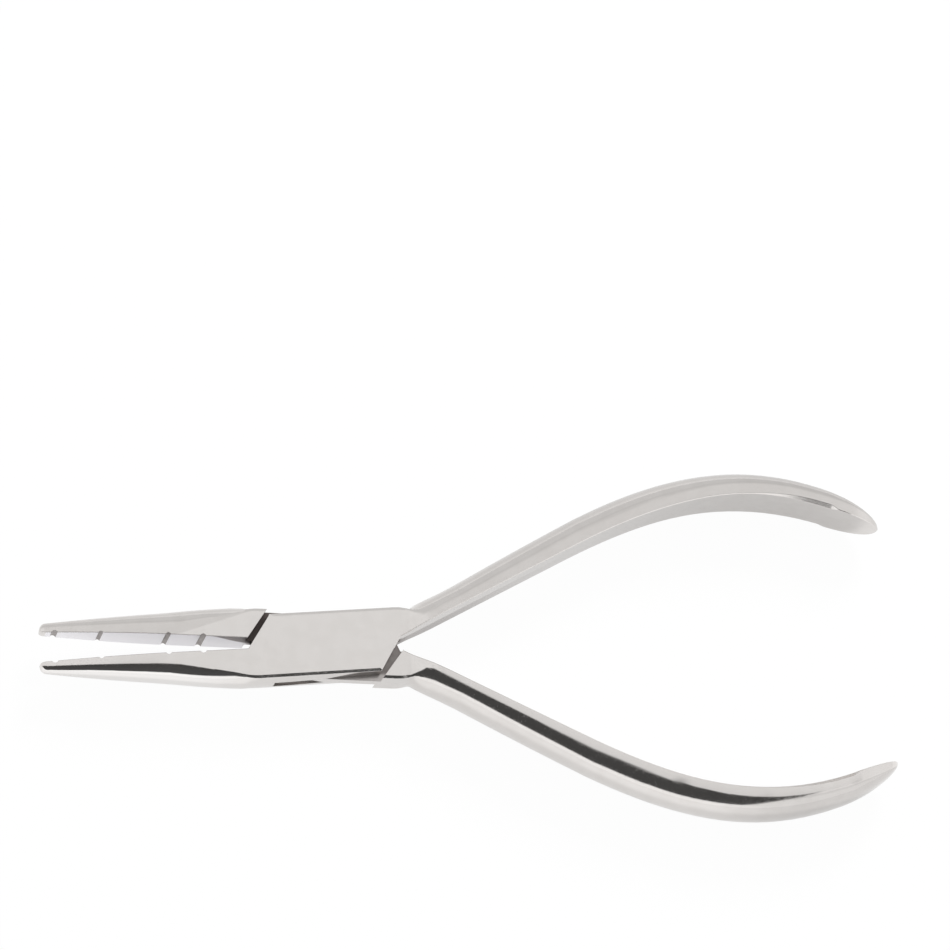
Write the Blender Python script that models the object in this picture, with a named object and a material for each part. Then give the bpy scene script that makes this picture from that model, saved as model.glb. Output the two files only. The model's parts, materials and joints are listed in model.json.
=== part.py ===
"""Wire bending pliers: two crossing halves of a box joint and the pin that they turn on.

The script works in millimetres and the meshes are scaled to metres when they are made.
X runs along the tool, jaws at -X and handles at +X, with the pivot at X = 0, Y = 0.
Y is the direction in which the jaws and the handles spread, and Z is the depth.
The joint's rear face lies on Z = 0, so the pivot's axis leaves the joint at the origin.
The tool is drawn slightly open, as it lies at rest.
"""

import math

import bmesh
import bpy
from mathutils import Matrix, Vector

METRES = 0.001

# Joint
JOINT_DEPTH = 6.5
HALF = JOINT_DEPTH / 2
TONGUE_DEPTH = 1.95
SIDE_CLEARANCE = 0.05
EDGE_HEIGHT = 5.38
UNDERSIDE_RISE = 0.27
TONGUE_TOP = 5.2
TONGUE_BOTTOM = 5.43
EDGE_LEAN = 0.055
EDGE_CHAMFER = 0.2
EDGE_CHAMFER_WIDTH = 0.45
UNDERSIDE_BULGE = 0.5
UNDERSIDE_BULGE_HANDLE = 0.05
REST_OPENING = 6.0

# Plates of the outer half: their ends are straight lines at a distance from the pivot
PLATE_JAW_END = 10.77
PLATE_JAW_ANGLE = 57.9
PLATE_HANDLE_END = 9.52
PLATE_HANDLE_ANGLE = 59.6

# Shoulders of the inner half, where its cheeks stop short of the plates
SHOULDER_JAW_END = 11.42
SHOULDER_JAW_ANGLE = 54.7
SHOULDER_HANDLE_END = 10.22
SHOULDER_HANDLE_REAR_END = 9.7
SHOULDER_HANDLE_ANGLE = 52.7

# Walls at the ends of the slot, which the tongue meets just after the jaw tips have met
WALL_INNER_X = 9.2
WALL_INNER_Y = 5.5
WALL_OUTER_X = 12.2
WALL_OUTER_Y = 0.2
WALL_CLEARANCE = 0.15
SLOT_FLOOR_JAW = 1.05
SLOT_FLOOR_HANDLE = 1.5
SLOT_FLOOR_JAW_DRAFT = 0.3
SLOT_FLOOR_HANDLE_DRAFT = 0.1
SLOT_MARGIN = 1.4

# The tongue's corner beside the lower handle, which stands above the handle's inner side
HEEL_LEFT = (10.85, -0.62)
HEEL_MIDDLE = (11.35, -0.9)
HEEL_RIGHT = (12.2, -0.86)
HEEL_ROOT_RIGHT = (12.6, -2.1)
HEEL_ROOT_LEFT = (10.75, -2.6)

# Pivot pin
PIN_RADIUS = 2.0
PIN_RUNNING_GAP = 0.05
PIN_SEAT_GAP = 0.02
PIN_BORE_DEPTH = 5.45
PIN_END_GAP = 0.15
PIN_SIDES = 64

# Jaws
JAW_LENGTH = 46.4
JAW_ROOT = 13.2
JAW_FULL = 14.0
JAW_BLEND_START = 15.0
JAW_BLEND_END = 11.5
JAW_GAP = 0.29
JAW_SPREAD = 0.0463
JAW_TIP_HEIGHT = 1.6
JAW_GROWTH = 3.85
JAW_BELLY = 0.22
JAW_SHOULDER = 0.22
JAW_FLAT = 0.4
JAW_TIP_DEPTH = 1.1
JAW_ROOT_WIDENING = 0.75
JAW_WIDENING_START = 25.0
JAW_EDGE = 0.06
TIP_ROUNDING = 0.9

# Wire grooves: distance from the pivot and width, across both gripping faces
GROOVES = ((44.1, 1.0), (36.8, 0.77), (26.1, 0.87), (20.5, 0.97))
GROOVE_DEPTH_RATIO = 0.33

# Handles
HANDLE_START = 12.2
HANDLE_BLEND_START = 11.3
HANDLE_BLEND_END = 13.2
HANDLE_ROUND_START = 12.4
HANDLE_ROUND_END = 16.2
HANDLE_ROOT_Y = 1.371
HANDLE_LENGTH = 94.0
HANDLE_BOW = 27.78
HANDLE_ROOT_WIDTH = 3.3
HANDLE_ROOT_SWELL = 0.7
HANDLE_SWELL_FULL = 15.0
HANDLE_SWELL_END = 21.0
HANDLE_END_WIDTH = 3.4
HANDLE_BELLY = 1.35
HANDLE_HALF_DEPTH = 4.6
HANDLE_PALM_DEPTH = 5.1
HANDLE_LATE_DEPTH = 4.8
HANDLE_EDGE = 0.12
HANDLE_CREASE = 0.45
HANDLE_LEAST_EDGE = 0.02
HANDLE_FLAT_ROOT = 0.8
HANDLE_FLAT_MIDDLE = 1.35
HANDLE_FLAT_PALM = 1.6
HANDLE_END_ROUNDING = 10.0
HANDLE_END_NARROWING = 8.0
HANDLE_END_SIDE = 0.27
HANDLE_LAST_STEP = 0.06

# The inner side's bend is a Bezier curve, given in shares of the handle's length and bow
HANDLE_CURVE_SHARES = ((0.44596, 0.59071), (0.68947, 1.0), (0.81415, 0.95176), (0.99074, 0.69942))
HANDLE_CURVE = tuple((HANDLE_LENGTH * a, HANDLE_BOW * b) for a, b in HANDLE_CURVE_SHARES)
HANDLE_SLOPE = (HANDLE_CURVE[0][1] - HANDLE_ROOT_Y) / (HANDLE_CURVE[0][0] - HANDLE_START)

# Cutters go this far past the faces that they cut
CUT_PAST = 3.0

# Mesh detail
GROOVE_SIDES = 32
SECTION_STEP = 0.3
SIDE_POINTS = 9


def clamp(value):
    return max(0.0, min(1.0, value))


def mix(a, b, t):
    return a + (b - a) * t


def smooth(a, b, x):
    t = clamp((x - a) / (b - a))
    return t * t * (3 - 2 * t)


def turned(point, degrees):
    angle = math.radians(degrees)
    x, y = point
    return (
        x * math.cos(angle) - y * math.sin(angle),
        x * math.sin(angle) + y * math.cos(angle),
    )


def end_line(distance, angle, sign):
    """Y as a function of X on a straight end, on the jaw side (-1) or the handle side (+1)."""
    slope = math.tan(math.radians(angle))
    offset = distance * math.hypot(1.0, slope)
    return lambda x: slope * x - sign * offset


def end_x(line, height):
    """Where such a line reaches a height."""
    rise = line(1.0) - line(0.0)
    return (height - line(0.0)) / rise


# Gripping faces and the outsides of the jaws


def jaw_inner(x):
    return JAW_GAP + JAW_SPREAD * abs(x)


def jaw_share(x):
    """0 at the tip, 1 at the joint."""
    return clamp((JAW_LENGTH - abs(x)) / (JAW_LENGTH - JAW_FULL))


def tip_round(x):
    """Goes from 0 at the very tip to 1 where the tip's rounding ends."""
    t = clamp((JAW_LENGTH - abs(x)) / TIP_ROUNDING)
    return math.sqrt(max(0.0, 1 - (1 - t) ** 2))


def jaw_height(x):
    u = jaw_share(x)
    belly = JAW_BELLY * 4 * u * (1 - u) + JAW_SHOULDER * smooth(0.55, 0.85, u)
    return JAW_TIP_HEIGHT + JAW_GROWTH * u + belly


def jaw_outer(x):
    return jaw_inner(x) + jaw_height(x) * mix(0.3, 1.0, tip_round(x))


def jaw_grip(x):
    return jaw_inner(x) + 0.25 * (1 - tip_round(x))


def jaw_cone(x):
    """Half the depth that the rounded back would have if the joint's flat faces did not cut it."""
    run = clamp((JAW_LENGTH - abs(x)) / (JAW_LENGTH - JAW_WIDENING_START))
    depth = mix(JAW_TIP_DEPTH, HALF, math.sin(math.radians(90 * run)))
    root = clamp((JAW_WIDENING_START - abs(x)) / (JAW_WIDENING_START - JAW_ROOT))
    return (depth + JAW_ROOT_WIDENING * root**2) * mix(0.55, 1.0, tip_round(x))


# Handles


def curve_point(t):
    a, b, c, d = HANDLE_CURVE
    s = 1 - t
    return tuple(
        s**3 * a[i] + 3 * s * s * t * b[i] + 3 * s * t * t * c[i] + t**3 * d[i]
        for i in range(2)
    )


def handle_line(x):
    """Y of the flat inner side before the end is rounded."""
    start_x, start_y = HANDLE_CURVE[0]
    if x <= start_x:
        return start_y + HANDLE_SLOPE * (x - start_x)
    low, high = 0.0, 1.2
    for _ in range(50):
        middle = (low + high) / 2
        if curve_point(middle)[0] < x:
            low = middle
        else:
            high = middle
    return curve_point(low)[1]


def handle_slope(x):
    return (handle_line(x + 0.05) - handle_line(x - 0.05)) / 0.1


def handle_share(x):
    """0 where the handle leaves the joint, 1 at its end."""
    return clamp((x - HANDLE_START) / (HANDLE_LENGTH - HANDLE_START))


def handle_height(x):
    v = handle_share(x)
    width = mix(HANDLE_ROOT_WIDTH, HANDLE_END_WIDTH, v) + HANDLE_BELLY * 4 * v * (1 - v)
    swell = HANDLE_ROOT_SWELL * (1 - smooth(HANDLE_START, HANDLE_SWELL_END, x))
    swell *= smooth(HANDLE_START, HANDLE_SWELL_FULL, x)
    return width * math.hypot(1.0, handle_slope(x)) + swell


def handle_end(x, length):
    """Goes from 1 where the end's rounding starts to 0 at the very end."""
    t = clamp((x - (HANDLE_LENGTH - length)) / length)
    return math.sqrt(max(0.0, 1 - t * t))


def handle_inner(x):
    lift = HANDLE_END_SIDE * (1 - handle_end(x, HANDLE_END_ROUNDING))
    return handle_line(x) + lift * handle_height(x)


def handle_outer(x):
    return handle_inner(x) + handle_height(x) * handle_end(x, HANDLE_END_ROUNDING)


def handle_depth(x):
    v = handle_share(x)
    depth = mix(HALF, HANDLE_HALF_DEPTH, smooth(0.005, 0.07, v))
    depth = mix(depth, HANDLE_PALM_DEPTH, smooth(0.51, 0.74, v))
    depth = mix(depth, HANDLE_LATE_DEPTH, smooth(0.8, 0.9, v))
    return depth * handle_end(x, HANDLE_END_NARROWING)


def handle_flat(x):
    """Width of the flat on the front and rear face, beside the inner side."""
    v = handle_share(x)
    wide = mix(HANDLE_FLAT_ROOT, HANDLE_FLAT_MIDDLE, smooth(0.02, 0.34, v))
    wide = mix(wide, HANDLE_FLAT_PALM, smooth(0.46, 0.73, v))
    return wide * handle_end(x, HANDLE_END_ROUNDING)


def handle_chamfer(x):
    """The inner edge's chamfer, which opens into a narrow crease before the handle's end."""
    v = handle_share(x)
    crease = smooth(0.7, 0.87, v) * (1 - smooth(0.89, 0.905, v))
    chamfer = (HANDLE_EDGE + HANDLE_CREASE * crease) * handle_end(x, HANDLE_END_ROUNDING)
    return max(chamfer, HANDLE_LEAST_EDGE)


# Sections. A side is the part of a section from Z = 0 to the corner with the front face.


def flat_side(edge, inward, depth, chamfer, bulge, width=None):
    """A side that is flat or slightly domed, with a small chamfer. Inward is +1 or -1 along Y.

    The chamfer's width on the front face may differ from its depth.
    """
    points = []
    for k in range(SIDE_POINTS):
        z = (depth - chamfer) * k / (SIDE_POINTS - 1)
        points.append((edge - inward * bulge * (1 - (z / depth) ** 2), z))
    points.append((points[-1][0] + inward * (chamfer if width is None else width), depth))
    return points


def round_side(apex, start, cone, depth):
    """A side that is an arc from the apex to where it starts, cut off at the front face."""
    last = math.asin(min(1.0, depth / cone))
    points = []
    for k in range(SIDE_POINTS + 1):
        angle = last * k / SIDE_POINTS
        points.append((start + (apex - start) * math.cos(angle), cone * math.sin(angle)))
    return points


def blend(a, b, t):
    return [(mix(p[0], q[0], t), mix(p[1], q[1], t)) for p, q in zip(a, b)]


def solid(name, rings, collection):
    """A closed mesh through the rings, which all have the same number of points."""
    built = bmesh.new()
    rows = [[built.verts.new(Vector(p) * METRES) for p in ring] for ring in rings]
    count = len(rings[0])
    for first, second in zip(rows, rows[1:]):
        for k in range(count):
            n = (k + 1) % count
            built.faces.new((first[k], first[n], second[n], second[k]))
    built.faces.new(rows[0][::-1])
    built.faces.new(rows[-1])
    bmesh.ops.recalc_face_normals(built, faces=built.faces)
    return finish_mesh(name, built, collection)


def section_ring(x, low, high):
    """The closed ring of a section whose front and rear are alike, from its low and high side."""
    front = [(x, y, HALF + z) for y, z in low + high[::-1]]
    rear = [(x, y, HALF - z) for y, z in (low + high[::-1])[::-1]][1:-1]
    return front + rear


def stations(corners):
    """The X of every section: close together at the tips and the bends, and at each corner."""
    marks = []
    for k in range(7):
        marks.append(-JAW_LENGTH + TIP_ROUNDING * (1 - math.cos(math.radians(15 * k + 6))))
    span = JAW_LENGTH - TIP_ROUNDING - SECTION_STEP
    for k in range(1, 19):
        marks.append(-mix(span, JAW_ROOT + 2 * SECTION_STEP, k / 18))
    for share in (-1.1, -1.016, -0.943, -0.852, -0.689, -0.516, -0.254):
        marks.append(share * HANDLE_START)
    for share in (0.025, 0.27, 0.525, 0.655, 0.787, 0.869, 0.951):
        marks.append(share * HANDLE_START)
    bend = HANDLE_CURVE[0][0]
    for share in (0.02, 0.045, 0.074, 0.108, 0.148, 0.212, 0.296, 0.397, 0.532, 0.7, 0.868):
        marks.append(mix(HANDLE_START, bend, share))
    end = HANDLE_LENGTH - HANDLE_END_ROUNDING
    for k in range(22):
        marks.append(mix(bend, end, k / 21))
    last = HANDLE_LENGTH - HANDLE_LAST_STEP
    for k in range(1, 13):
        marks.append(mix(end, last, math.sin(math.radians(7.5 * k))))
    for share in (0.889, 0.897, 0.905):
        marks.append(mix(HANDLE_START, HANDLE_LENGTH, share))
    kept = []
    for x in sorted(marks):
        if all(abs(x - c) > 0.16 for c in corners) and (not kept or x - kept[-1] > 0.03):
            kept.append(x)
    return sorted(kept + list(corners))


def half(name, sign, collection, female):
    """One half in one piece from jaw to handle, before the joint is cut into it.

    Sign +1 has its handle at +Y and its jaw at -Y, and -1 is the other way round. All sections
    are worked out for +1 and turned over at the end.
    """
    if female:
        lean = EDGE_LEAN
        top = EDGE_HEIGHT
        bottom = EDGE_HEIGHT - UNDERSIDE_RISE
        jaw_end = end_line(PLATE_JAW_END, PLATE_JAW_ANGLE, -1)
        handle_stop = end_line(PLATE_HANDLE_END, PLATE_HANDLE_ANGLE, 1)
    else:
        # The tongue lies in the slot turned by the opening at rest, seen here turned over
        lean = math.tan(math.radians(REST_OPENING) - math.atan(EDGE_LEAN))
        top = TONGUE_BOTTOM
        bottom = TONGUE_TOP
        jaw_end, handle_stop = tongue_ends()

    def top_edge(x):
        return top + lean * x

    def bottom_edge(x):
        return -bottom + lean * x

    grip_corner = end_x(lambda x: jaw_end(x) + JAW_GAP - JAW_SPREAD * x, 0.0)
    top_left = end_x(lambda x: jaw_end(x) - top_edge(x), 0.0)
    bottom_right = end_x(lambda x: handle_stop(x) - bottom_edge(x), 0.0)
    inner_corner = end_x(lambda x: handle_stop(x) - handle_line(x), 0.0)
    rise = handle_outer(HANDLE_BLEND_END)

    def high_side(x):
        if x <= grip_corner:
            edge = -jaw_grip(x)
            return flat_side(edge, -1, min(jaw_cone(x), HALF), JAW_EDGE, 0.0)
        depth = handle_depth(x)
        if x <= top_left:
            t = (x - grip_corner) / (top_left - grip_corner)
            edge = mix(-jaw_inner(grip_corner), top_edge(top_left), t)
            return flat_side(edge, -1, depth, mix(JAW_EDGE, EDGE_CHAMFER, smooth(0, 1, t)), 0.0)
        edge = top_edge(x)
        if x >= HANDLE_BLEND_END:
            edge = handle_outer(x)
        elif x > HANDLE_BLEND_START:
            t = (x - HANDLE_BLEND_START) / (HANDLE_BLEND_END - HANDLE_BLEND_START)
            edge = mix(top_edge(HANDLE_BLEND_START), rise, t)
        flat = flat_side(edge, -1, depth, EDGE_CHAMFER, 0.0, EDGE_CHAMFER_WIDTH)
        if x < HANDLE_ROUND_START:
            return flat
        start = handle_inner(x) + handle_flat(x) * math.hypot(1.0, handle_slope(x))
        rounded = round_side(edge, start, depth, depth)
        return blend(flat, rounded, smooth(HANDLE_ROUND_START, HANDLE_ROUND_END, x))

    def low_side(x):
        if x >= bottom_right:
            if x >= inner_corner:
                edge = handle_inner(x)
            else:
                edge = handle_stop(x)
            return flat_side(edge, 1, handle_depth(x), handle_chamfer(x), 0.0)
        toward_handle = smooth(-0.75 * JAW_BLEND_END, bottom_right, x)
        bulge = mix(UNDERSIDE_BULGE, UNDERSIDE_BULGE_HANDLE, toward_handle) if female else 0.0
        flat = flat_side(bottom_edge(x), 1, HALF, EDGE_CHAMFER, bulge, EDGE_CHAMFER_WIDTH)
        if x > -JAW_BLEND_END:
            return flat
        depth = min(jaw_cone(x), HALF)
        apex = -jaw_outer(x)
        start = -jaw_grip(x) - JAW_FLAT * (jaw_outer(x) - jaw_grip(x))
        back = round_side(apex, start, jaw_cone(x), depth)
        return blend(back, flat, smooth(-JAW_BLEND_START, -JAW_BLEND_END, x))

    corners = [grip_corner, top_left, bottom_right, inner_corner]
    rings = []
    for x in stations(corners):
        ring = section_ring(x, low_side(x), high_side(x))
        rings.append([(px, sign * py, pz) for px, py, pz in ring])
    return solid(name, rings, collection)


def tongue_ends():
    """The straight ends of the tongue in the slot, at rest and seen turned over (handle at +Y)."""
    inner = turned((-WALL_INNER_X, -WALL_INNER_Y), -REST_OPENING)
    outer = turned((-WALL_OUTER_X, -WALL_OUTER_Y), -REST_OPENING)
    along = (outer[0] - inner[0], outer[1] - inner[1])
    length = math.hypot(*along)
    shift = (along[1] / length * WALL_CLEARANCE, -along[0] / length * WALL_CLEARANCE)
    slope = -along[1] / along[0]
    offset = -(inner[1] + shift[1]) - slope * (inner[0] + shift[0])
    return (lambda x: slope * x + offset), (lambda x: slope * x - offset)


def finish_mesh(name, built, collection):
    mesh = bpy.data.meshes.new(name)
    built.to_mesh(mesh)
    built.free()
    body = bpy.data.objects.new(name, mesh)
    collection.objects.link(body)
    return body


def prism(name, outline, z_low, z_high, collection):
    """A flat outline extruded along Z."""
    built = bmesh.new()
    corners = [built.verts.new(Vector((x, y, z_low)) * METRES) for x, y in outline]
    base = built.faces.new(corners)
    raised = bmesh.ops.extrude_face_region(built, geom=[base], use_keep_orig=True)["geom"]
    moved = [item for item in raised if isinstance(item, bmesh.types.BMVert)]
    bmesh.ops.translate(built, verts=moved, vec=(0, 0, (z_high - z_low) * METRES))
    bmesh.ops.recalc_face_normals(built, faces=built.faces)
    return finish_mesh(name, built, collection)


def cylinder(name, centre, radius, z_low, z_high, sides, collection):
    """A cylinder along Z, turned by half a side so that no corner lies on a section's plane."""
    place = Vector((centre[0], centre[1], (z_low + z_high) / 2)) * METRES
    built = bmesh.new()
    bmesh.ops.create_cone(
        built,
        cap_ends=True,
        segments=sides,
        radius1=radius * METRES,
        radius2=radius * METRES,
        depth=(z_high - z_low) * METRES,
        matrix=Matrix.Translation(place) @ Matrix.Rotation(math.pi / sides, 4, "Z"),
    )
    return finish_mesh(name, built, collection)


def cut(body, cutter, operation="DIFFERENCE"):
    change = body.modifiers.new("Shape with " + cutter.name, "BOOLEAN")
    change.operation = operation
    change.solver = "EXACT"
    change.object = cutter


def slot_outline():
    """Where the tongue lies and swings: between the two walls, open above and below."""
    reach = EDGE_HEIGHT + CUT_PAST
    jaw_side = -JAW_ROOT - SLOT_MARGIN / 2
    handle_side = HANDLE_START + SLOT_MARGIN

    def on_wall(height):
        t = (height - WALL_OUTER_Y) / (WALL_INNER_Y - WALL_OUTER_Y)
        return mix(WALL_OUTER_X, WALL_INNER_X, t)

    return [
        (-on_wall(reach), -reach),
        (-on_wall(SLOT_FLOOR_JAW), -SLOT_FLOOR_JAW),
        (jaw_side, -SLOT_FLOOR_JAW + SLOT_FLOOR_JAW_DRAFT),
        (jaw_side, reach),
        (on_wall(reach), reach),
        (on_wall(SLOT_FLOOR_HANDLE), SLOT_FLOOR_HANDLE),
        (handle_side, SLOT_FLOOR_HANDLE - SLOT_FLOOR_HANDLE_DRAFT),
        (handle_side, -reach),
    ]


def cheek_outline(handle_end_distance):
    """Where the inner half is only as deep as its tongue."""
    jaw = end_line(SHOULDER_JAW_END, SHOULDER_JAW_ANGLE, -1)
    handle = end_line(handle_end_distance, SHOULDER_HANDLE_ANGLE, 1)
    reach = EDGE_HEIGHT + CUT_PAST
    return [
        (end_x(jaw, -reach), -reach),
        (end_x(handle, -reach), -reach),
        (end_x(handle, reach), reach),
        (end_x(jaw, reach), reach),
    ]


def groove_cutters(sign, collection):
    cutters = []
    for index, (distance, width) in enumerate(GROOVES):
        depth = GROOVE_DEPTH_RATIO * width
        radius = (width * width / 4 + depth * depth) / (2 * depth)
        height = sign * (jaw_inner(distance) - radius + depth)
        name = f"groove_cutter_{'upper' if sign > 0 else 'lower'}_{index + 1}"
        centre = (-distance, height)
        deep = JOINT_DEPTH + CUT_PAST
        cutters.append(
            cylinder(name, centre, radius, -CUT_PAST, deep, GROOVE_SIDES, collection)
        )
    return cutters


def steel(name, colour, roughness):
    material = bpy.data.materials.new(name)
    material.use_nodes = True
    shader = material.node_tree.nodes["Principled BSDF"]
    shader.inputs["Base Color"].default_value = (*colour, 1)
    shader.inputs["Metallic"].default_value = 1.0
    shader.inputs["Roughness"].default_value = roughness
    return material


def finish_body(body, material):
    body.data.materials.append(material)
    for polygon in body.data.polygons:
        polygon.use_smooth = True
    body.data.set_sharp_from_angle(angle=math.radians(24))


def main():
    for item in list(bpy.data.objects):
        bpy.data.objects.remove(item, do_unlink=True)

    parts = bpy.data.collections.new("wire_bending_pliers")
    bpy.context.scene.collection.children.link(parts)
    helpers = bpy.data.collections.new("cutters")
    bpy.context.scene.collection.children.link(helpers)
    helpers.hide_render = True

    female = half("female_half", 1, parts, True)
    male = half("male_half", -1, parts, False)

    slot_half = TONGUE_DEPTH / 2 + SIDE_CLEARANCE
    slot = prism("slot_cutter", slot_outline(), HALF - slot_half, HALF + slot_half, helpers)
    seat = PIN_RADIUS + PIN_SEAT_GAP
    bore = cylinder("seat_cutter", (0, 0), seat, -CUT_PAST, PIN_BORE_DEPTH, PIN_SIDES, helpers)
    cut(female, slot)
    cut(female, bore)

    tongue = TONGUE_DEPTH / 2
    front = cheek_outline(SHOULDER_HANDLE_END)
    rear = cheek_outline(SHOULDER_HANDLE_REAR_END)
    cut(male, prism("cheek_cutter_rear", rear, -CUT_PAST, HALF - tongue, helpers))
    cut(male, prism("cheek_cutter_front", front, HALF + tongue, JOINT_DEPTH + CUT_PAST, helpers))
    heel = (HEEL_LEFT, HEEL_MIDDLE, HEEL_RIGHT, HEEL_ROOT_RIGHT, HEEL_ROOT_LEFT)
    cut(male, prism("heel", heel, HALF - tongue, HALF + tongue, helpers), "UNION")
    running = PIN_RADIUS + PIN_RUNNING_GAP
    cut(
        male,
        cylinder(
            "running_cutter",
            (0, 0),
            running,
            -CUT_PAST,
            JOINT_DEPTH + CUT_PAST,
            PIN_SIDES,
            helpers,
        ),
    )

    for cutter in groove_cutters(-1, helpers):
        cut(female, cutter)
    for cutter in groove_cutters(1, helpers):
        cut(male, cutter)

    pin_top = PIN_BORE_DEPTH - PIN_END_GAP
    pin = cylinder("pivot_pin", (0, 0), PIN_RADIUS, 0, pin_top, PIN_SIDES, parts)

    for helper in helpers.objects:
        helper.hide_render = True
        helper.display_type = "WIRE"

    finish_body(female, steel("steel_female", (0.62, 0.61, 0.59), 0.22))
    finish_body(male, steel("steel_male", (0.62, 0.61, 0.59), 0.22))
    finish_body(pin, steel("steel_pin", (0.56, 0.56, 0.55), 0.3))

    pivot = bpy.data.objects.new("pivot", None)
    parts.objects.link(pivot)
    male.parent = pivot


main()
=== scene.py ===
"""The wire bending pliers as the photograph shows them, on a white floor and seen from above."""

import json
import math

import bmesh
import bpy
from mathutils import Matrix, Vector

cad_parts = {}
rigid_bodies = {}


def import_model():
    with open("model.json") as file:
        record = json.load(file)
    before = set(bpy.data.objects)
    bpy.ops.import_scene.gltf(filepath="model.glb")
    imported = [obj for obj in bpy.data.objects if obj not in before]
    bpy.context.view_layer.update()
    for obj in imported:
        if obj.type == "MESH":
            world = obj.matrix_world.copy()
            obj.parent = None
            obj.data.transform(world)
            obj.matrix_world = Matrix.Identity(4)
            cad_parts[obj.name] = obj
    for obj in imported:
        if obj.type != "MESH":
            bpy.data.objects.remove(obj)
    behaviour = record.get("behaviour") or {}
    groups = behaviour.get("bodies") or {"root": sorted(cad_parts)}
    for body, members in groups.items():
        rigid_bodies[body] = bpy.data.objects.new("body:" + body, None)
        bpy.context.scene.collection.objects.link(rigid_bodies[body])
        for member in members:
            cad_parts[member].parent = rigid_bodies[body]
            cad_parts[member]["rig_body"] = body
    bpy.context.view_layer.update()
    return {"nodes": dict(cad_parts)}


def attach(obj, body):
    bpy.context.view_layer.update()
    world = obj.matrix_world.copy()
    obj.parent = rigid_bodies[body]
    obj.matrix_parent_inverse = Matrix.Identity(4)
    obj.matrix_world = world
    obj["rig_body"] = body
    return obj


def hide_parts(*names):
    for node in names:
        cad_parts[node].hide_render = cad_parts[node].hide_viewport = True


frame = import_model()

CAMERA_PLACE = (-0.138957, -0.205587, 0.744574)
CAMERA_RIGHT = (0.97817, -0.05802, 0.19954)
CAMERA_UP = (-0.00488, 0.95356, 0.30116)
CAMERA_LENS = 183.67
CAMERA_SENSOR = 36
CAMERA_CLIP = (0.05, 20)

# Finishes as colour and roughness, and shares of colour by which a surface is painted darker.
STEEL_DARK = (0.747, 0.719, 0.697)
STEEL_PALE = (0.774, 0.746, 0.725)
# Tarnish with painted shade, for recesses, wire grooves, slot ends and the handles' inner roots.
TARNISH_AND_SHADE = ((0.25, 0.22, 0.21), 0.42)
# Matt ground gripping faces, painted paler as a painted reflection of the white floor.
GROUND_AND_REFLECTION = ((0.905, 0.89, 0.915), 0.36)
# Painted shadow of the jaw's shoulder on the tongue.
SHOULDER_SHADOW = ((0.15, 0.126, 0.12), 0.5)
# Painted reflection of the white floor on the lower jaw's outer side.
BRIGHT_REFLECTION = ((0.87, 0.85, 0.835), 0.09)
STAIN = ((0.2, 0.17, 0.16), 0.45)
# Painted shade on the upper jaw's and upper handle's slanted fronts.
SLANT_SHADE = (0.885, 0.882, 0.88)
END_SHADED = (0.8, 0.8, 0.8)

# How far each handle's end is shaded, by the way that the handle's inner side faces.
END_SHARE = {1: 1.0, -1: 0.35}

# Roughness of the satin flat faces and the polished sides, and what the scratches add to each.
FLAT_FROM = 0.985
FLAT_TO = 0.9998
SATIN = 0.2
POLISHED = 0.09
SCRATCHED_SATIN = 0.02
SCRATCHED_POLISHED = 0.18

# Noise scales per metre, and the relief of the fine grain and the rounded edges in metres.
MOTTLE = 420
SPECKS = 5600
GRAIN = 5200
GRAIN_STRETCH = (0.25, 1.0, 1.0)
GRAIN_DEPTH = 0.00002
GRAIN_STRENGTH = 0.12
EDGE_RADIUS = 0.00009
EDGE_SAMPLES = 6

# Values of a noise between which it goes from none to full, and what it adds to the roughness.
MOTTLE_TONES = (0.35, 0.65)
MOTTLE_UNEVEN = (0.3, 0.7)
MOTTLE_PATCHES = (0.2, 0.75)
SPECKS_SHOWN = (0.45, 0.75)
UNEVENNESS = (-0.006, 0.01)

# Places on the tool in metres between which a tone fades in or out.
HANDLE_SLANT_X = (0.012, 0.017)
BRIGHT_REFLECTION_X = (-0.026, -0.006)
END_X = (0.058, 0.076)
SHOULDER_X = (-0.0094, -0.0084)
UNCOVERED_Y = (-0.0050, -0.0043)
STAIN_X = (-0.0205, -0.0125)
STAIN_Z = (0.0064, 0.0069)
STAIN_DEPTH = 0.0034
ROOT_X = (0.009, 0.0105)
ROOT_Y = (-0.003, -0.002)
ROOT_Z = (0.0030, 0.0042)
ROOT_NEAR_X = (0.011, 0.018)
ROOT_FAR_X = (0.014, 0.046)

# The edge of the upper jaw's slanted front, where its painted shade begins, by its distance in
# metres along a direction.
SLANT_ACROSS = (-0.307, 0.952, 0)
SLANT_EDGE = 0.00898
SLANT_BLEND = 0.0002

# Parts of a normal, toward front or rear or toward the handle's inner side, between which a
# tone fades in or out.
FACES_FRONT = (0.93, 0.99)
FACES_SIDE = (0.6, 0.8)
FACES_AWAY = (-0.4, -0.2)
FACES_OUT = (-0.35, -0.15)
FACES_BELOW = (0.3, 0.6)
FACES_IN = (0.3, 0.5)

# Places in millimetres, and parts of a normal, for marking the faces of a mesh.
MIDDLE_Z = 3.25
RECESS_HALF_DEPTH = 1.1
JOINT_HALF_LENGTH = 14
JOINT_END_FROM = 7
JOINT_END_SIDE = 5.2
GRIP_TIP = -45.4
GRIP_ROOT = -12.9
GRIP_GAP = 0.29
GRIP_SPREAD = 0.0463
GROOVE_MARGIN = 0.03
SIDE_NORMAL = 0.3
FLAT_NORMAL = 0.9
UPRIGHT_NORMAL = 0.1
END_NORMAL = 0.6

# Corners nearer to each other than this, in metres, are one. Up to these angles in degrees,
# faces are joined into one flat face, and shaded as one smooth surface.
SAME_CORNER = 0.000002
FLAT_ANGLE = 0.4
SMOOTH_ANGLE = 22

# The floor's size and place in metres, its finish, and how its glow falls off behind the tool.
FLOOR_SIZE = 6
FLOOR_Z = -0.00187
FLOOR_COLOUR = (0.95, 0.95, 0.95)
FLOOR_ROUGHNESS = 0.9
FLOOR_FAR_Y = (0.0, 0.03)

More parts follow.
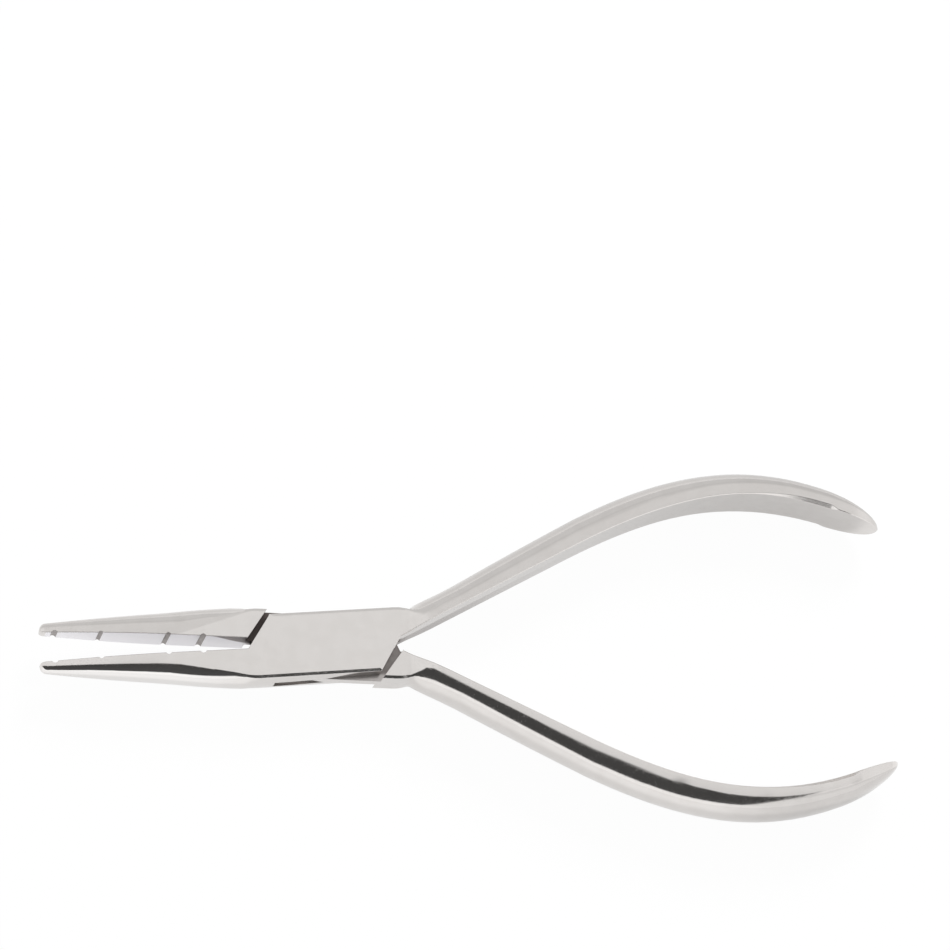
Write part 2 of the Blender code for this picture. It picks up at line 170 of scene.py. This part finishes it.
# Shares of glow in the floor, and the pale and dark parts of the room that the steel mirrors.
# The dark part's edges are given as distances per unit of height, with the fades across them.
FLOOR_SEEN = 0.97
FLOOR_MIRRORED = 0.69
ROOM_REAR = 0.94
ROOM_FAR = 0.76
ROOM_FRONT = 1.1
ROOM_DARK = 0.065
DARK_RIGHT = 0.37
DARK_REAR = 0.12
DARK_LOW = 0.3
RIGHT_FADE = (-0.03, 0.03)
REAR_FADE = (-0.02, 0.02)
LOW_FADE = 0.05
FRONT_WAY = (0.0, -1.0, -0.4)
FRONT_FADE = (-0.2, 0.5)
FAR_FADE = (0.2, 0.85)

LAMP_PLACE = (0.45, 0.965, 0.745)
LAMP_SIZE = 0.42
LAMP_POWER = 16.0


def new_material(name):
    material = bpy.data.materials.new(name)
    material.use_nodes = True
    return material, material.node_tree.nodes, material.node_tree.links


def add(nodes, kind, **settings):
    node = nodes.new(kind)
    for key, value in settings.items():
        setattr(node, key, value)
    return node


def noise(nodes, links, vector, scale, detail, roughness):
    node = add(nodes, "ShaderNodeTexNoise")
    node.inputs["Scale"].default_value = scale
    node.inputs["Detail"].default_value = detail
    node.inputs["Roughness"].default_value = roughness
    links.new(vector, node.inputs["Vector"])
    return node.outputs["Fac"]


def ranged(nodes, links, value, low, high, to_low, to_high):
    node = add(nodes, "ShaderNodeMapRange", interpolation_type="SMOOTHSTEP")
    node.inputs["From Min"].default_value = low
    node.inputs["From Max"].default_value = high
    node.inputs["To Min"].default_value = to_low
    node.inputs["To Max"].default_value = to_high
    links.new(value, node.inputs["Value"])
    return node.outputs["Result"]


def math_node(nodes, links, operation, first, second=None):
    node = add(nodes, "ShaderNodeMath", operation=operation)
    for index, value in enumerate((first, second)):
        if value is None:
            continue
        if isinstance(value, (int, float)):
            node.inputs[index].default_value = value
        else:
            links.new(value, node.inputs[index])
    return node.outputs[0]


def beyond(nodes, links, vector, normal, low, high):
    """From 0 to 1 as a direction or a place passes a plane with the given normal."""
    node = add(nodes, "ShaderNodeVectorMath", operation="DOT_PRODUCT")
    links.new(vector, node.inputs[0])
    node.inputs[1].default_value = normal
    return ranged(nodes, links, node.outputs["Value"], low, high, 0, 1)


def toward(nodes, links, shader, factor, values):
    """Takes the shader's colour and roughness toward other ones by a factor."""
    colour, roughness = values
    tint = add(nodes, "ShaderNodeMix", data_type="RGBA")
    links.new(factor, tint.inputs["Factor"])
    links.new(shader.inputs["Base Color"].links[0].from_socket, tint.inputs["A"])
    tint.inputs["B"].default_value = (*colour, 1)
    links.new(tint.outputs["Result"], shader.inputs["Base Color"])
    rough = add(nodes, "ShaderNodeMix", data_type="FLOAT")
    links.new(factor, rough.inputs["Factor"])
    links.new(shader.inputs["Roughness"].links[0].from_socket, rough.inputs["A"])
    rough.inputs["B"].default_value = roughness
    links.new(rough.outputs["Result"], shader.inputs["Roughness"])


def shade(nodes, links, shader, factor, share):
    """Darkens the shader's colour to a share of it by a factor."""
    shaded = add(nodes, "ShaderNodeMix", data_type="RGBA", blend_type="MULTIPLY")
    links.new(factor, shaded.inputs["Factor"])
    links.new(shader.inputs["Base Color"].links[0].from_socket, shaded.inputs["A"])
    shaded.inputs["B"].default_value = (*share, 1)
    links.new(shaded.outputs["Result"], shader.inputs["Base Color"])


def steel(name, inner_way):
    """Stainless steel: satin where it faces front or rear, polished on its round sides.

    Recesses and wire grooves are dull and tarnished, with painted shade, and the gripping faces
    are ground matt and painted paler, a painted reflection of the white floor.
    The inner way is the side, in Y, that the handle's inner side faces.
    """
    material, nodes, links = new_material(name)
    shader = nodes["Principled BSDF"]
    shader.inputs["Metallic"].default_value = 1.0
    coordinates = add(nodes, "ShaderNodeTexCoord")
    place = coordinates.outputs["Object"]
    grain = add(nodes, "ShaderNodeMapping")
    grain.inputs["Scale"].default_value = GRAIN_STRETCH
    links.new(place, grain.inputs["Vector"])
    grain = grain.outputs["Vector"]

    mottle = noise(nodes, links, place, MOTTLE, 4.0, 0.55)
    specks = noise(nodes, links, place, SPECKS, 2.0, 0.5)
    fine = noise(nodes, links, grain, GRAIN, 3.0, 0.6)
    colour = add(nodes, "ShaderNodeMix", data_type="RGBA")
    colour.inputs["A"].default_value = (*STEEL_DARK, 1)
    colour.inputs["B"].default_value = (*STEEL_PALE, 1)
    links.new(ranged(nodes, links, mottle, *MOTTLE_TONES, 0, 1), colour.inputs["Factor"])
    links.new(colour.outputs["Result"], shader.inputs["Base Color"])

    facing = add(nodes, "ShaderNodeSeparateXYZ")
    links.new(coordinates.outputs["Normal"], facing.inputs[0])
    flatness = math_node(nodes, links, "ABSOLUTE", facing.outputs["Z"])
    finish = ranged(nodes, links, flatness, FLAT_FROM, FLAT_TO, POLISHED, SATIN)
    uneven = ranged(nodes, links, mottle, *MOTTLE_UNEVEN, *UNEVENNESS)
    depth = ranged(nodes, links, flatness, FLAT_FROM, FLAT_TO, SCRATCHED_POLISHED, SCRATCHED_SATIN)
    scratches = ranged(nodes, links, specks, *SPECKS_SHOWN, 0, 1)
    scratches = math_node(nodes, links, "MULTIPLY", scratches, depth)
    uneven = math_node(nodes, links, "ADD", uneven, scratches)
    links.new(math_node(nodes, links, "ADD", finish, uneven), shader.inputs["Roughness"])

    # Gripping faces: matt, and painted paler as a painted reflection of the white floor
    ground = add(nodes, "ShaderNodeAttribute", attribute_name="ground").outputs["Fac"]
    toward(nodes, links, shader, ground, GROUND_AND_REFLECTION)
    # Recesses, grooves and slot ends: tarnish with painted shade, lighter where the tongue comes
    # out from under the plate
    tarnish_and_shade = add(nodes, "ShaderNodeAttribute", attribute_name="tarnish_and_shade").outputs["Fac"]
    patchy = ranged(nodes, links, mottle, *MOTTLE_PATCHES, 1.0, 0.75)
    along = add(nodes, "ShaderNodeSeparateXYZ")
    links.new(place, along.inputs[0])
    uncovered = ranged(nodes, links, along.outputs["Y"], *UNCOVERED_Y, 0.45, 1.0)
    patchy = math_node(nodes, links, "MULTIPLY", patchy, uncovered)
    toward(nodes, links, shader, math_node(nodes, links, "MULTIPLY", tarnish_and_shade, patchy), TARNISH_AND_SHADE)

    # The upper handle, and the upper jaw up to an edge across its root, are ground at a slant, and
    # the shade of that slant is painted into their colour
    inward = math_node(nodes, links, "MULTIPLY", facing.outputs["Y"], inner_way)
    front = ranged(nodes, links, flatness, *FACES_FRONT, 0, 1)
    outer = ranged(nodes, links, flatness, *FACES_SIDE, 1, 0)
    if inner_way > 0:
        low, high = SLANT_EDGE - SLANT_BLEND, SLANT_EDGE + SLANT_BLEND
        slant_shade = beyond(nodes, links, place, SLANT_ACROSS, low, high)
    else:
        slant_shade = ranged(nodes, links, along.outputs["X"], *HANDLE_SLANT_X, 0, 1)
        away = ranged(nodes, links, inward, *FACES_AWAY, 1, 0)
        outer = math_node(nodes, links, "MULTIPLY", outer, away)
    either = math_node(nodes, links, "MAXIMUM", front, outer)
    slant_shade = math_node(nodes, links, "MULTIPLY", slant_shade, either)
    not_ground = math_node(nodes, links, "SUBTRACT", 1.0, ground)
    slant_shade = math_node(nodes, links, "MULTIPLY", slant_shade, not_ground)
    shade(nodes, links, shader, slant_shade, SLANT_SHADE)

    # The lower jaw's outer side is polished brighter than the rest: smoother, and painted paler, a
    # painted reflection of the white floor
    if inner_way < 0:
        painted_reflection = ranged(nodes, links, along.outputs["X"], *BRIGHT_REFLECTION_X, 1, 0)
        below = ranged(nodes, links, inward, *FACES_BELOW, 0, 1)
        painted_reflection = math_node(nodes, links, "MULTIPLY", painted_reflection, below)
        clear_of_tarnish_and_shade = math_node(nodes, links, "SUBTRACT", 1.0, tarnish_and_shade)
        painted_reflection = math_node(nodes, links, "MULTIPLY", painted_reflection, clear_of_tarnish_and_shade)
        toward(nodes, links, shader, painted_reflection, BRIGHT_REFLECTION)

    # The handles' outer sides are painted darker toward their ends
    end = ranged(nodes, links, along.outputs["X"], *END_X, 0, END_SHARE[inner_way])
    outside = ranged(nodes, links, inward, *FACES_OUT, 1, 0)
    end = math_node(nodes, links, "MULTIPLY", end, outside)
    shade(nodes, links, shader, end, END_SHADED)

    # The tongue is painted nearly black beside the jaw's shoulder, a painted shadow of the
    # shoulder
    beside = ranged(nodes, links, along.outputs["X"], *SHOULDER_X, 1, 0)
    shoulder_shadow = math_node(nodes, links, "MULTIPLY", tarnish_and_shade, flatness)
    shoulder_shadow = math_node(nodes, links, "MULTIPLY", shoulder_shadow, beside)
    toward(nodes, links, shader, shoulder_shadow, SHOULDER_SHADOW)

    # The gripping faces are stained along the front at their roots
    reach = ranged(nodes, links, along.outputs["X"], *STAIN_X, 0, STAIN_DEPTH)
    edge = math_node(nodes, links, "ADD", along.outputs["Z"], reach)
    stain = ranged(nodes, links, edge, *STAIN_Z, 0, 0.85)
    toward(nodes, links, shader, math_node(nodes, links, "MULTIPLY", ground, stain), STAIN)

    # The handle's inner side is dull and painted darker at its root, tarnish with painted shade,
    # and clears up toward the grip
    root = ranged(nodes, links, inward, *FACES_IN, 0, 1)
    outward = math_node(nodes, links, "MULTIPLY", along.outputs["Y"], -inner_way)
    for outlet, places, shares in (
        (outward, ROOT_Y, (0, 1)),
        (along.outputs["X"], ROOT_X, (0, 1)),
        (along.outputs["Z"], ROOT_Z, (1, 0.2)),
    ):
        share = ranged(nodes, links, outlet, *places, *shares)
        root = math_node(nodes, links, "MULTIPLY", root, share)
    near = ranged(nodes, links, along.outputs["X"], *ROOT_NEAR_X, 0.95, 0)
    further = ranged(nodes, links, along.outputs["X"], *ROOT_FAR_X, 0.6, 0)
    nearness = math_node(nodes, links, "MAXIMUM", near, further)
    root = math_node(nodes, links, "MULTIPLY", root, nearness)
    toward(nodes, links, shader, root, TARNISH_AND_SHADE)

    rounded = add(nodes, "ShaderNodeBevel", samples=EDGE_SAMPLES)
    rounded.inputs["Radius"].default_value = EDGE_RADIUS
    bump = add(nodes, "ShaderNodeBump")
    bump.inputs["Strength"].default_value = GRAIN_STRENGTH
    bump.inputs["Distance"].default_value = GRAIN_DEPTH
    links.new(fine, bump.inputs["Height"])
    links.new(rounded.outputs["Normal"], bump.inputs["Normal"])
    links.new(bump.outputs["Normal"], shader.inputs["Normal"])
    return material


def mark(mesh, node):
    """Marks the recesses, wire grooves and slot ends that are tarnished with painted shade, and
    the matt gripping faces.
    """
    tarnish_and_shade = mesh.attributes.new("tarnish_and_shade", "FLOAT", "FACE").data
    ground = mesh.attributes.new("ground", "FLOAT", "FACE").data
    grip_way = {"female_half": 1, "male_half": -1, "pivot_pin": 0}[node]
    for face in mesh.polygons:
        x, y, z = (1000 * c for c in face.center)
        normal = face.normal
        sideways = normal.y * grip_way > SIDE_NORMAL and abs(normal.z) < SIDE_NORMAL
        grips = sideways and GRIP_TIP < x < GRIP_ROOT
        inside = abs(z - MIDDLE_Z) < RECESS_HALF_DEPTH and abs(x) < JOINT_HALF_LENGTH
        at_end = JOINT_END_FROM < abs(x) < JOINT_HALF_LENGTH and abs(y) < JOINT_END_SIDE
        if grips:
            in_groove = abs(y) > GRIP_GAP + GRIP_SPREAD * abs(x) + GROOVE_MARGIN
            (tarnish_and_shade if in_groove else ground)[face.index].value = 1.0
        elif inside and abs(normal.z) > FLAT_NORMAL:
            tarnish_and_shade[face.index].value = 1.0
        elif at_end and abs(normal.z) < UPRIGHT_NORMAL and abs(normal.x) > END_NORMAL:
            tarnish_and_shade[face.index].value = 1.0


def dressed(node, material):
    """The CAD piece's own surface, shaded smooth where it is smooth, in place of flat facets."""
    source = frame["nodes"][node].data
    mesh = bpy.data.meshes.new(node + "_surface")
    built = bmesh.new()
    corners = [built.verts.new(v.co) for v in source.vertices]
    for polygon in source.polygons:
        built.faces.new([corners[i] for i in polygon.vertices])
    bmesh.ops.remove_doubles(built, verts=built.verts, dist=SAME_CORNER)
    bmesh.ops.dissolve_limit(
        built, angle_limit=math.radians(FLAT_ANGLE), verts=built.verts, edges=built.edges
    )
    for face in built.faces:
        face.smooth = True
    built.to_mesh(mesh)
    built.free()
    mesh.set_sharp_from_angle(angle=math.radians(SMOOTH_ANGLE))
    mesh.materials.append(material)
    mark(mesh, node)
    piece = bpy.data.objects.new(node + "_surface", mesh)
    bpy.context.scene.collection.objects.link(piece)
    weight = piece.modifiers.new("Normals", "WEIGHTED_NORMAL")
    weight.keep_sharp = True
    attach(piece, frame["nodes"][node]["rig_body"])
    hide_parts(node)
    return piece


def floor():
    """A white floor. Its glow keeps it white, and its plain share keeps the tool's soft shadow."""
    bpy.ops.mesh.primitive_plane_add(size=FLOOR_SIZE, location=(0, 0, FLOOR_Z))
    plane = bpy.context.object
    plane.name = "floor"
    material, nodes, links = new_material("floor_white")
    shader = nodes["Principled BSDF"]
    shader.inputs["Base Color"].default_value = (*FLOOR_COLOUR, 1)
    shader.inputs["Roughness"].default_value = FLOOR_ROUGHNESS
    shader.inputs["Specular IOR Level"].default_value = 0.0
    glow = add(nodes, "ShaderNodeEmission")
    glow.inputs["Color"].default_value = (1, 1, 1, 1)
    path = add(nodes, "ShaderNodeLightPath")
    across = add(nodes, "ShaderNodeSeparateXYZ")
    links.new(add(nodes, "ShaderNodeTexCoord").outputs["Object"], across.inputs[0])
    rear = ranged(nodes, links, across.outputs["Y"], *FLOOR_FAR_Y, 1.0, ROOM_FAR)
    level = math_node(nodes, links, "MAXIMUM", rear, path.outputs["Is Camera Ray"])
    links.new(level, glow.inputs["Strength"])
    mirrored = math_node(
        nodes, links, "MAXIMUM", path.outputs["Is Glossy Ray"], path.outputs["Is Transmission Ray"]
    )
    mirrored = math_node(nodes, links, "MULTIPLY", mirrored, FLOOR_MIRRORED)
    seen = math_node(nodes, links, "MULTIPLY", path.outputs["Is Camera Ray"], FLOOR_SEEN)
    mixed = add(nodes, "ShaderNodeMixShader")
    links.new(math_node(nodes, links, "ADD", seen, mirrored), mixed.inputs[0])
    links.new(shader.outputs[0], mixed.inputs[1])
    links.new(glow.outputs[0], mixed.inputs[2])
    links.new(mixed.outputs[0], nodes["Material Output"].inputs["Surface"])
    plane.data.materials.append(material)


def surroundings():
    """White all round for the camera. Reflections show a pale room with a dark part overhead."""
    world = bpy.data.worlds.new("studio")
    bpy.context.scene.world = world
    world.use_nodes = True
    nodes, links = world.node_tree.nodes, world.node_tree.links
    back = nodes["Background"]
    direction = add(nodes, "ShaderNodeTexCoord").outputs["Generated"]
    right = beyond(nodes, links, direction, (-1.0, 0.0, DARK_RIGHT), *RIGHT_FADE)
    rear = beyond(nodes, links, direction, (0.0, -1.0, DARK_REAR), *REAR_FADE)
    edge = (DARK_LOW - LOW_FADE, DARK_LOW + LOW_FADE)
    low = beyond(nodes, links, direction, (0.0, 0.0, 1.0), *edge)
    dark = math_node(nodes, links, "MULTIPLY", right, rear)
    dark = math_node(nodes, links, "MULTIPLY", dark, low)
    front = beyond(nodes, links, direction, FRONT_WAY, *FRONT_FADE)
    pale = ranged(nodes, links, front, 0, 1, ROOM_REAR, ROOM_FRONT)
    far = beyond(nodes, links, direction, (0.0, 1.0, 0.0), *FAR_FADE)
    far = ranged(nodes, links, far, 0, 1, 1.0, ROOM_FAR)
    pale = math_node(nodes, links, "MULTIPLY", pale, far)
    room = add(nodes, "ShaderNodeMix", data_type="FLOAT")
    links.new(dark, room.inputs["Factor"])
    links.new(pale, room.inputs["A"])
    room.inputs["B"].default_value = ROOM_DARK
    path = add(nodes, "ShaderNodeLightPath")
    shown = add(nodes, "ShaderNodeMix", data_type="FLOAT")
    links.new(path.outputs["Is Camera Ray"], shown.inputs["Factor"])
    links.new(room.outputs["Result"], shown.inputs["A"])
    shown.inputs["B"].default_value = 1.0
    links.new(shown.outputs["Result"], back.inputs["Strength"])
    back.inputs["Color"].default_value = (1, 1, 1, 1)


def lamp(name, place, size, power):
    """A soft lamp for the floor's light and shadow. The steel mirrors the room instead of it."""
    data = bpy.data.lights.new(name, "AREA")
    data.energy = power
    data.size = size
    holder = bpy.data.objects.new(name, data)
    bpy.context.scene.collection.objects.link(holder)
    holder.location = place
    holder.rotation_mode = "QUATERNION"
    holder.rotation_quaternion = (-Vector(place)).to_track_quat("-Z", "Y")
    holder.visible_glossy = False


def camera():
    data = bpy.data.cameras.new("camera")
    data.lens = CAMERA_LENS
    data.sensor_width = CAMERA_SENSOR
    data.clip_start, data.clip_end = CAMERA_CLIP
    holder = bpy.data.objects.new("camera", data)
    bpy.context.scene.collection.objects.link(holder)
    right, up = Vector(CAMERA_RIGHT), Vector(CAMERA_UP)
    back = right.cross(up).normalized()
    up = back.cross(right).normalized()
    turn = Matrix((right.normalized(), up, back)).transposed().to_4x4()
    holder.matrix_world = Matrix.Translation(CAMERA_PLACE) @ turn
    bpy.context.scene.camera = holder


for piece_name, slot_name, inner_way in (
    ("female_half", "steel_female", -1),
    ("male_half", "steel_male", 1),
    ("pivot_pin", "steel_pin", 1),
):
    dressed(piece_name, steel(slot_name, inner_way))
floor()
surroundings()
lamp("softbox", LAMP_PLACE, LAMP_SIZE, LAMP_POWER)
camera()
bpy.context.scene.view_settings.view_transform = "Standard"
